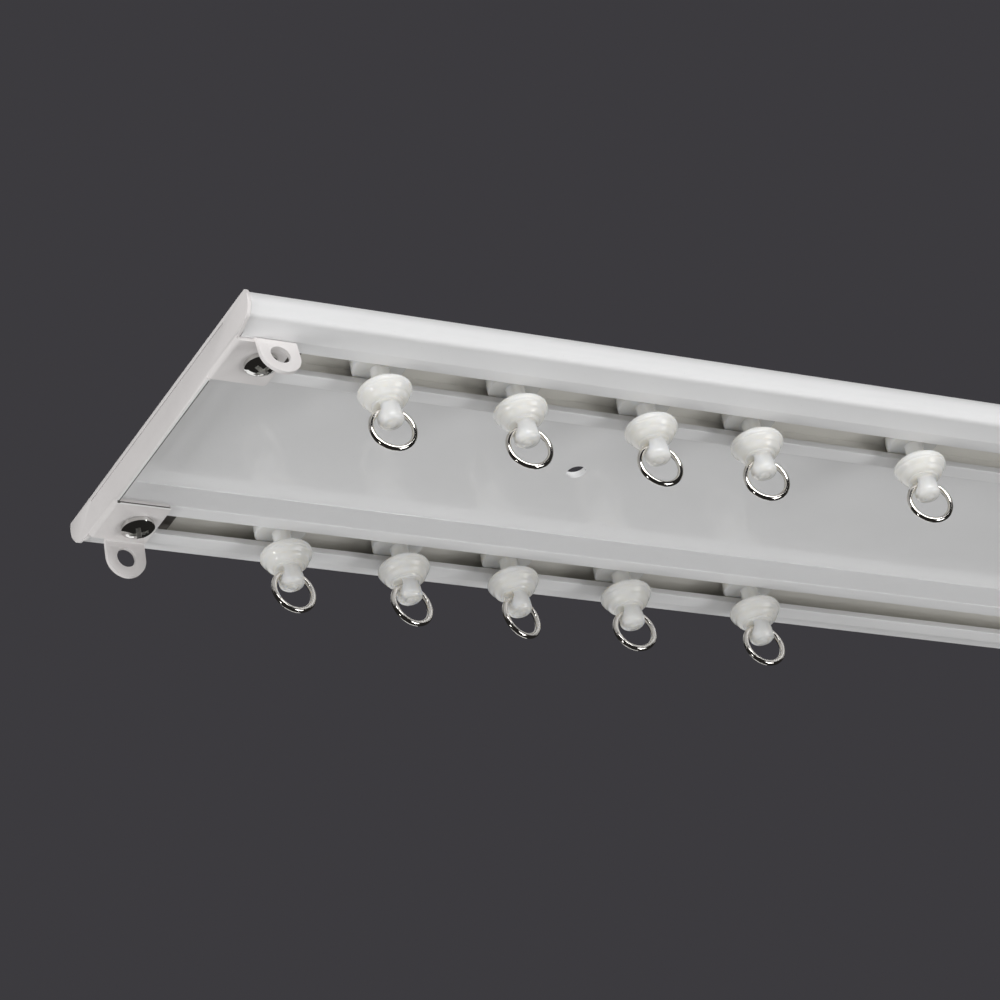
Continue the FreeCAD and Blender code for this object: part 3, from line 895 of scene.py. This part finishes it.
def shader_group(name, numbers, outputs):
    """Empty shader node group with a vector input, number inputs with defaults, and value outputs."""
    tree = bpy.data.node_groups.new(name, "ShaderNodeTree")
    tree.interface.new_socket("Vector", in_out="INPUT", socket_type="NodeSocketVector")
    for label, default in numbers.items():
        socket = tree.interface.new_socket(label, in_out="INPUT", socket_type="NodeSocketFloat")
        socket.default_value = default
    for label in outputs:
        tree.interface.new_socket(label, in_out="OUTPUT", socket_type="NodeSocketFloat")
    start = tree.nodes.new("NodeGroupInput")
    end = tree.nodes.new("NodeGroupOutput")
    return tree, start.outputs, end.inputs


def noise(tree, way, scale, detail, **more):
    """Noise value."""
    return node(tree, "ShaderNodeTexNoise", Vector=way, Scale=scale, Detail=detail, **more).outputs[0]


def paint_skin_group(name):
    """Slight unevenness of sprayed paint: cloudy tone, fine orange peel and a few dull specks."""
    tree, given, out = shader_group(
        name, {"Cloud scale": 60.0, "Peel scale": 1500.0}, ("Cloud", "Peel", "Specks")
    )
    dots = node(tree, "ShaderNodeTexVoronoi", Vector=given["Vector"], Scale=420.0, Randomness=1.0)
    specks = node(
        tree, "ShaderNodeMapRange", Value=dots.outputs["Distance"],
        From_Min=0.03, From_Max=0.09, To_Min=1.0, To_Max=0.0,
    ).outputs[0]
    feed(tree, out["Cloud"], noise(tree, given["Vector"], given["Cloud scale"], 3.0))
    feed(tree, out["Peel"], noise(tree, given["Vector"], given["Peel scale"], 1.0))
    feed(tree, out["Specks"], specks)
    return tree


def die_lines_group(name):
    """Fine lines that the extrusion die leaves along X."""
    tree, given, out = shader_group(name, {"Density": 900.0}, ("Lines",))
    stretched = node(tree, "ShaderNodeMapping", Vector=given["Vector"], Scale=(0.004, 1.0, 1.0)).outputs[0]
    feed(tree, out["Lines"], noise(tree, stretched, given["Density"], 4.0, Roughness=0.6))
    return tree


def metal_wear_group(name):
    """Short fine scratches and stains of plated or bare metal."""
    tree, given, out = shader_group(name, {"Scratch scale": 2200.0}, ("Scratches", "Stains"))
    stretched = node(
        tree, "ShaderNodeMapping", Vector=given["Vector"], Rotation=(0.3, 0.2, 0.6), Scale=(0.06, 1.0, 1.0)
    ).outputs[0]
    feed(tree, out["Scratches"], noise(tree, stretched, given["Scratch scale"], 3.0))
    feed(tree, out["Stains"], noise(tree, given["Vector"], 350.0, 4.0))
    return tree


EFFECTS = {"Paint skin": paint_skin_group, "Die lines": die_lines_group, "Metal wear": metal_wear_group}


def effect(tree, name, **inputs):
    """Outputs of a shared shader group, built on first use and placed in a material."""
    group = bpy.data.node_groups.get(name) or EFFECTS[name](name)
    return node(tree, "ShaderNodeGroup", {"node_tree": group}, **inputs).outputs


def new_material(name, **values):
    """Material with a Principled shader; the values are set on the shader's own sockets."""
    material = bpy.data.materials.new(name)
    material.use_nodes = True
    tree = material.node_tree
    tree.nodes.clear()
    shader = node(tree, "ShaderNodeBsdfPrincipled", **values)
    output = tree.nodes.new("ShaderNodeOutputMaterial")
    tree.links.new(shader.outputs[0], output.inputs[0])
    coords = tree.nodes.new("ShaderNodeTexCoord").outputs["Object"]
    return material, tree, shader, coords


def coat(tree, shader, tone, rough):
    """Gives the shader a colour and a roughness that change over the surface."""
    feed(tree, shader.inputs["Base Color"], tone)
    feed(tree, shader.inputs["Roughness"], rough)


def bump(tree, shader, height, strength, distance):
    """Bump on the shader's normal."""
    made = node(tree, "ShaderNodeBump", Strength=strength, Distance=distance, Height=height)
    feed(tree, shader.inputs["Normal"], made.outputs[0])


def track_paint(settings):
    """Gloss white paint over an extrusion, with die lines, and duller channels painted a little darker and
    warmer as painted shade.
    """
    finish, sizes = settings.finish, settings.track
    material, tree, shader, coords = new_material("track gloss white", IOR=1.5, Coat_Roughness=0.04)
    skin = effect(tree, "Paint skin", Vector=coords, Cloud_scale=45.0, Peel_scale=1400.0)
    lines = effect(tree, "Die lines", Vector=coords, Density=900.0)["Lines"]
    parts = parts_of(tree, coords)
    across = maths(tree, "ABSOLUTE", parts["Y"])
    lip_top, roof = sizes.lip - sizes.height, -sizes.web
    wall_in = sizes.width / 2 - sizes.slot_inset - sizes.slot / 2 - sizes.inner_lip + sizes.wall
    below_nose = minus(tree, sizes.nose_rise + sizes.skin / 2 - sizes.height, parts["Z"])
    skin_middle = times(tree, maths(tree, "MAXIMUM", below_nose, 0.0), SLOPE_LEAN)
    from_skin = plus(tree, across, skin_middle)
    level = band(tree, parts["Z"], lip_top - MASK_SOFT, roof + MASK_SOFT, MASK_SOFT)
    past_wall = band(tree, across, wall_in - MASK_SOFT, 1.0, MASK_SOFT)
    within_skin = band(tree, from_skin, -1.0, sizes.width / 2 - sizes.skin / 4, MASK_SOFT)
    inside = times(tree, level, times(tree, past_wall, within_skin))
    web = times(
        tree,
        band(tree, parts["Z"], roof - 10 * MASK_SOFT, 0.6 * roof, 2 * MASK_SOFT),
        band(tree, across, -1.0, wall_in - sizes.wall, 2 * MASK_SOFT),
    )
    tone = cloudy(tree, skin["Cloud"], finish.track, 0.03)
    tone = mixed(tree, times(tree, lines, 0.06), tone, rgba(finish.track, 0.93))
    tone = mixed(tree, times(tree, skin["Specks"], 0.25), tone, rgba(finish.track, 0.8))
    # Painted shade: the inside of the channels is painted a little darker and warmer.
    tone = mixed(tree, inside, tone, rgba(finish.channel_shade))
    rough = plus(tree, ranged(tree, skin["Cloud"], *FASCIA_ROUGH), ranged(tree, lines, -0.006, 0.006))
    rough = between(tree, web, rough, WEB_ROUGH)
    coat(tree, shader, tone, plus(tree, rough, times(tree, inside, INSIDE_ROUGHER)))
    feed(tree, shader.inputs["Coat Weight"], times(tree, web, WEB_COAT))
    relief = plus(tree, times(tree, lines, 0.12), times(tree, skin["Peel"], 0.5))
    bump(tree, shader, relief, 0.05, 0.03 * MM)
    return material


def cap_paint(settings):
    """Satin warm white paint on folded sheet, with painted highlights along its edges and a painted shade
    line where it meets the track.
    """
    finish, sizes = settings.finish, settings.cap
    material, tree, shader, coords = new_material("cap satin white", IOR=1.5)
    skin = effect(tree, "Paint skin", Vector=coords, Cloud_scale=110.0, Peel_scale=1800.0)
    wear = effect(tree, "Metal wear", Vector=coords, Scratch_scale=1500.0)
    tone = cloudy(tree, skin["Cloud"], finish.cap, 0.04)
    tone = mixed(tree, times(tree, skin["Specks"], 0.3), tone, rgba(finish.cap, 0.78))
    # Painted highlight: the rounded edges of the sheet are painted near white.
    edge_highlight = node(tree, "ShaderNodeAttribute", {"attribute_name": EDGE_HIGHLIGHT}).outputs["Fac"]
    tone = mixed(tree, edge_highlight, tone, rgba(finish.edge_highlight))
    parts = parts_of(tree, coords)
    from_plate = minus(tree, maths(tree, "ABSOLUTE", parts["X"]), sizes.plate_in)
    far_tab = minus(tree, parts["Y"], sizes.tab_in)
    near_tab = minus(tree, NEAR_SHADE_WIDTHS * sizes.seam - sizes.tab_in, parts["Y"])
    inwards = maths(tree, "MAXIMUM", from_plate, maths(tree, "MAXIMUM", far_tab, near_tab))
    under = band(tree, parts["Z"], -1.0, 0.12 * MM - sizes.tab_under, 0.02 * MM)
    # Painted highlight: a near white rim on the underside, just inside the painted shade line.
    rim = times(tree, under, band(tree, inwards, sizes.seam, HIGHLIGHT_END_WIDTHS * sizes.seam, MASK_SOFT))
    # Painted shade: a dark line on the underside along the cap's inner edge, where it meets the track.
    seam = times(tree, under, band(tree, inwards, -4 * MASK_SOFT, sizes.seam, MASK_SOFT))
    # Painted shade: a dark disc in the corner between plate and far tab, for the shaded relief notch.
    to_corner = plus(tree, times(tree, from_plate, from_plate), times(tree, far_tab, far_tab))
    notch_shade = times(tree, under, band(tree, to_corner, -1.0, sizes.notch_shade ** 2, 0.05 * MM ** 2))
    tone = mixed(tree, rim, tone, rgba(finish.edge_highlight))
    tone = mixed(tree, maths(tree, "MAXIMUM", seam, notch_shade), tone, rgba(finish.seam))
    scuffs = ranged(tree, wear["Scratches"], -0.04, 0.04)
    coat(tree, shader, tone, plus(tree, ranged(tree, skin["Cloud"], *CAP_ROUGH), scuffs))
    bump(tree, shader, skin["Peel"], 0.12, 0.04 * MM)
    return material


def cross_mask(tree, coords, sizes):
    """Mask that is 1 inside the cross recesses of the screws: above the crown's surface, near the axis."""
    parts = parts_of(tree, coords)
    along = minus(tree, maths(tree, "ABSOLUTE", parts["X"]), sizes.screw_x)
    across = minus(tree, maths(tree, "ABSOLUTE", parts["Y"]), sizes.screw_y)
    square = plus(tree, times(tree, along, along), times(tree, across, across))
    slope = sizes.crown / (sizes.head / 2) ** 2
    apex = sizes.tab_under + sizes.head_side + sizes.crown
    deep = minus(tree, plus(tree, parts["Z"], apex), times(tree, square, slope))
    near_axis = band(tree, square, -1.0, (0.6 * sizes.cross) ** 2, 0.1 * MM ** 2)
    below_tab = band(tree, parts["Z"], -1.0, -sizes.tab_under - 0.1 * MM, 0.02 * MM)
    inside = band(tree, deep, 0.1 * MM, 1.0, 0.03 * MM)
    return times(tree, inside, times(tree, near_axis, below_tab))


def plated(name, base, rough_range, bump_strength=0.0, recessed=None):
    """Metal with fine scratches and faint stains; recessed gives the sizes of screws whose recesses are
    rougher and painted paler as a painted highlight.
    """
    material, tree, shader, coords = new_material(name, Metallic=1.0)
    wear = effect(tree, "Metal wear", Vector=coords, Scratch_scale=2600.0)
    tone = mixed(tree, wear["Stains"], rgba(base, 0.9), rgba(base, 1.06))
    rough = ranged(tree, times(tree, wear["Scratches"], wear["Stains"]), *rough_range)
    if recessed:
        mask = cross_mask(tree, coords, recessed)
        # Painted highlight: the cross recesses are painted paler.
        tone = mixed(tree, mask, tone, rgba(base, RECESS_HIGHLIGHT))
        rough = between(tree, mask, rough, RECESS_ROUGH)
    coat(tree, shader, tone, rough)
    if bump_strength:
        bump(tree, shader, wear["Scratches"], bump_strength, 0.02 * MM)
    return material


def nylon(settings):
    """Milky moulded nylon that lets light in a little way."""
    material, tree, shader, coords = new_material(
        "glider milky nylon", IOR=1.53, Specular_IOR_Level=0.5,
        Subsurface_Weight=1.0, Subsurface_Scale=0.008, Subsurface_Radius=(1.0, 0.93, 0.8),
    )
    skin = effect(tree, "Paint skin", Vector=coords, Cloud_scale=160.0, Peel_scale=2400.0)
    tone = cloudy(tree, skin["Cloud"], settings.finish.nylon, 0.05)
    coat(tree, shader, tone, ranged(tree, skin["Cloud"], *NYLON_ROUGH))
    bump(tree, shader, skin["Peel"], 0.06, 0.03 * MM)
    return material


def floor_paint(settings):
    """Dull pale floor."""
    material, tree, shader, coords = new_material("pale floor", Specular_IOR_Level=0.2)
    skin = effect(tree, "Paint skin", Vector=coords, Cloud_scale=0.8, Peel_scale=40.0)
    tone = cloudy(tree, skin["Cloud"], settings.finish.floor, 0.02)
    coat(tree, shader, tone, ranged(tree, skin["Cloud"], *FLOOR_ROUGH))
    return material


# Operators

def settings_of(context):
    """Settings of the curtain track in the scene."""
    return context.scene.curtain_track


class CURTAIN_OT_track(bpy.types.Operator):
    """Builds the extruded track"""

    bl_idname = "curtain_track.track"
    bl_label = "Track extrusion"

    def execute(self, context):
        settings = settings_of(context)
        s = in_mm(settings.track)
        outline = [(y, z, 0.0) for y, z in track_outline(s)]
        mesh = made_by(
            track_tree(), outline, True,
            {
                "Length": s["run"], "Hole radius": s["hole"] / 2, "Hole spacing": s["hole_spacing"],
                "Material": track_paint(settings),
            },
        )
        tidy_mesh(mesh, sharp_degrees=35.0)
        show(mesh, "track_extrusion", "track", ["track_profile"])
        return {"FINISHED"}


class CURTAIN_OT_caps(bpy.types.Operator):
    """Finishes the folded end caps"""

    bl_idname = "curtain_track.caps"
    bl_label = "End caps"

    def execute(self, context):
        settings = settings_of(context)
        paint = cap_paint(settings)
        for end in ENDS:
            name = f"end_cap_{end}"
            work = bmesh.new()
            work.from_mesh(frame["nodes"][name].data)
            bmesh.ops.remove_doubles(work, verts=work.verts, dist=MERGE_SHEET)
            bmesh.ops.dissolve_limit(
                work, angle_limit=SHEET_FLAT, verts=work.verts, edges=work.edges, delimit={"NORMAL"}
            )
            edge_highlight = work.faces.layers.float.new(EDGE_HIGHLIGHT)
            sharp = [edge for edge in work.edges if edge.is_manifold and edge.calc_face_angle() > SHEET_FOLD]
            rounded = bmesh.ops.bevel(
                work, geom=sharp, offset=settings.cap.edge, offset_type="OFFSET", segments=3, profile=0.5,
                affect="EDGES", clamp_overlap=True,
            )
            for face in work.faces:
                face.smooth = True
                face.material_index = 0
            # The rounded faces are marked for the painted edge highlight.
            for face in rounded["faces"]:
                face[edge_highlight] = 1.0
            mesh = bpy.data.meshes.new(name)
            work.to_mesh(mesh)
            work.free()
            mesh.materials.append(paint)
            mesh.set_sharp_from_angle(angle=math.radians(28))
            show(mesh, f"folded_cap_{end}", "track", [name])
        return {"FINISHED"}


class CURTAIN_OT_screws(bpy.types.Operator):
    """Builds the cap screws"""

    bl_idname = "curtain_track.screws"
    bl_label = "Cap screws"

    def execute(self, context):
        settings = settings_of(context)
        s = in_mm(settings.cap)
        plating = plated(
            "screw bright plating", settings.finish.screw, SCREW_ROUGH, recessed=settings.cap
        )
        mesh = made_by(
            screw_tree(), upright(screw_outline(s)), False,
            {
                "Cross length": s["cross"], "Cross width": s["cross_w"], "Cross depth": s["cross_deep"],
                "Crown height": -(s["tab_under"] + s["head_side"] + s["crown"]),
                "Head underside": THREAD_START - s["tab_under"],
                "Shank radius": s["screw"] / 2 - THREAD_IN, "Shank length": s["screw_run"] - THREAD_SHORT,
                "Pitch": s["pitch"], "Place X": s["screw_x"], "Place Y": s["screw_y"], "Material": plating,
            },
        )
        tidy_mesh(mesh, sharp_degrees=30.0)
        nodes = [f"{row}_{end}_cap_screw" for row in ROWS for end in ENDS]
        show(mesh, "pan_head_screws", "track", nodes)
        return {"FINISHED"}


class CURTAIN_OT_nuts(bpy.types.Operator):
    """Builds the nut plates inside the channels"""

    bl_idname = "curtain_track.nuts"
    bl_label = "Nut plates"

    def execute(self, context):
        settings = settings_of(context)
        s = in_mm(settings.cap)
        mesh = made_by(
            nut_tree(), NO_OUTLINE, False,
            {
                "Length": s["nut_run"], "Width": s["nut_w"], "Thickness": s["nut_t"],
                "Corner": s["nut_corner"], "Hole radius": s["screw"] / 2 + NUT_PLAY,
                "Hole shift": s["nut_x"] - s["screw_x"], "Underside": -s["nut_under"],
                "Place X": s["nut_x"], "Place Y": s["screw_y"],
                "Material": plated("nut dull steel", settings.finish.nut, NUT_ROUGH, NUT_BUMP),
            },
        )
        tidy_mesh(mesh, sharp_degrees=30.0)
        nodes = [f"{row}_{end}_nut_plate" for row in ROWS for end in ENDS]
        show(mesh, "channel_nut_plates", "track", nodes)
        return {"FINISHED"}


class CURTAIN_OT_gliders(bpy.types.Operator):
    """Builds the gliders"""

    bl_idname = "curtain_track.gliders"
    bl_label = "Gliders"

    def execute(self, context):
        settings = settings_of(context)
        s = in_mm(settings.glider)
        made = made_by(
            glider_tree(), upright(glider_outline(s)), False,
            {
                "Facets": settings.glider.facets, "Eye height": -s["eye"], "Eye reach": s["eye_reach"],
                "Ring radius": s["ring"], "Throat radius": s["ring"] - s["wire"] - s["eye_clear"],
                "Roof": s["wire"] + s["eye_clear"] + s["eye_roof"], "Material": nylon(settings),
            },
        )
        tidy_mesh(made, sharp_degrees=65.0)
        show_hanging(made, "nylon_glider", "glider")
        return {"FINISHED"}


class CURTAIN_OT_rings(bpy.types.Operator):
    """Builds the wire rings"""

    bl_idname = "curtain_track.rings"
    bl_label = "Hook rings"

    def execute(self, context):
        settings = settings_of(context)
        s = in_mm(settings.glider)
        made = made_by(
            ring_tree(), NO_OUTLINE, False,
            {
                "Ring radius": s["ring"], "Wire radius": s["wire"], "Joint": settings.glider.joint,
                "Height": -(s["eye"] + s["ring"]),
                "Material": plated("ring nickel plating", settings.finish.ring, RING_ROUGH),
            },
        )
        tidy_mesh(made, sharp_degrees=40.0)
        show_hanging(made, "wire_ring", "ring")
        return {"FINISHED"}


def softbox(name, place, target, size, watts, mirrored):
    """Area light that faces a target and isn't seen itself; mirrored lets glossy pieces show it."""
    light = bpy.data.lights.new(name, "AREA")
    light.shape = "RECTANGLE"
    light.size, light.size_y = size
    light.energy = watts
    lamp = bpy.data.objects.new(name, light)
    lamp.location = place
    lamp.rotation_euler = (Vector(target) - Vector(place)).to_track_quat("-Z", "Y").to_euler()
    lamp.visible_camera = False
    lamp.visible_glossy = mirrored
    bpy.context.scene.collection.objects.link(lamp)


def camera_turn(stage):
    """How the camera is turned, from its azimuth, elevation and roll."""
    a, e, r = stage.azimuth, stage.elevation, stage.roll
    back = Vector((math.sin(a) * math.cos(e), -math.cos(a) * math.cos(e), math.sin(e)))
    right = (-back).cross(Vector((0, 0, 1))).normalized()
    up = right.cross(-back)
    across = right * math.cos(r) + up * math.sin(r)
    upwards = up * math.cos(r) - right * math.sin(r)
    return Matrix((across, upwards, back)).transposed().to_4x4()


class CURTAIN_OT_stage(bpy.types.Operator):
    """Sets up the floor, the lights and the camera"""

    bl_idname = "curtain_track.stage"
    bl_label = "Stage"

    def execute(self, context):
        settings = settings_of(context)
        stage, finish = settings.stage, settings.finish
        scene = context.scene
        mesh = bpy.data.meshes.new("floor")
        around = ((-1, -1), (1, -1), (1, 1), (-1, 1))
        corners = [(x * FLOOR_HALF, y * FLOOR_HALF, stage.floor) for x, y in around]
        mesh.from_pydata(corners, [], [(0, 1, 2, 3)])
        mesh.materials.append(floor_paint(settings))
        floor = bpy.data.objects.new("floor", mesh)
        scene.collection.objects.link(floor)
        floor.visible_glossy = False

        for name, (place, target, size, mirrored) in LIGHTS.items():
            softbox(name, place, target, size, getattr(stage, name), mirrored)

        world = bpy.data.worlds.new("studio")
        scene.world = world
        world.use_nodes = True
        sky = world.node_tree
        seen = node(sky, "ShaderNodeLightPath").outputs["Is Camera Ray"]
        tint = mixed(sky, seen, rgba(finish.surround), rgba(finish.backdrop))
        feed(sky, sky.nodes["Background"].inputs["Color"], tint)
        scene.view_settings.view_transform = "Standard"

        data = bpy.data.cameras.new("camera")
        data.lens = stage.lens
        data.sensor_width = SENSOR
        data.clip_start, data.clip_end = CLIP
        camera = bpy.data.objects.new("camera", data)
        camera.matrix_world = Matrix.Translation(stage.place) @ camera_turn(stage)
        scene.collection.objects.link(camera)
        scene.camera = camera
        return {"FINISHED"}


class VIEW3D_PT_curtain_track(bpy.types.Panel):
    """Lists the steps that build the curtain track, and its settings"""

    bl_label = "Curtain track"
    bl_space_type = "VIEW_3D"
    bl_region_type = "UI"
    bl_category = "Curtain track"

    def draw(self, context):
        for operator in OPERATORS:
            self.layout.operator(operator.bl_idname)
        settings = settings_of(context)
        for group in (settings.track, settings.cap, settings.glider, settings.finish, settings.stage):
            box = self.layout.box()
            for name in group.__annotations__:
                box.prop(group, name)


OPERATORS = (
    CURTAIN_OT_track,
    CURTAIN_OT_caps,
    CURTAIN_OT_screws,
    CURTAIN_OT_nuts,
    CURTAIN_OT_gliders,
    CURTAIN_OT_rings,
    CURTAIN_OT_stage,
)
GROUPS = (TrackSizes, CapSizes, GliderSizes, Finishes, StageSettings, CurtainTrack)
CLASSES = (*GROUPS, *OPERATORS, VIEW3D_PT_curtain_track)


def register():
    """Registers the classes and the scene's settings."""
    for cls in CLASSES:
        bpy.utils.register_class(cls)
    bpy.types.Scene.curtain_track = PointerProperty(type=CurtainTrack)


def unregister():
    """Removes the settings and the classes."""
    del bpy.types.Scene.curtain_track
    for cls in reversed(CLASSES):
        bpy.utils.unregister_class(cls)


def main():
    """Builds every piece and the stage."""
    register()
    bpy.ops.curtain_track.track()
    bpy.ops.curtain_track.caps()
    bpy.ops.curtain_track.screws()
    bpy.ops.curtain_track.nuts()
    bpy.ops.curtain_track.gliders()
    bpy.ops.curtain_track.rings()
    bpy.ops.curtain_track.stage()


if __name__ == "__main__":
    main()
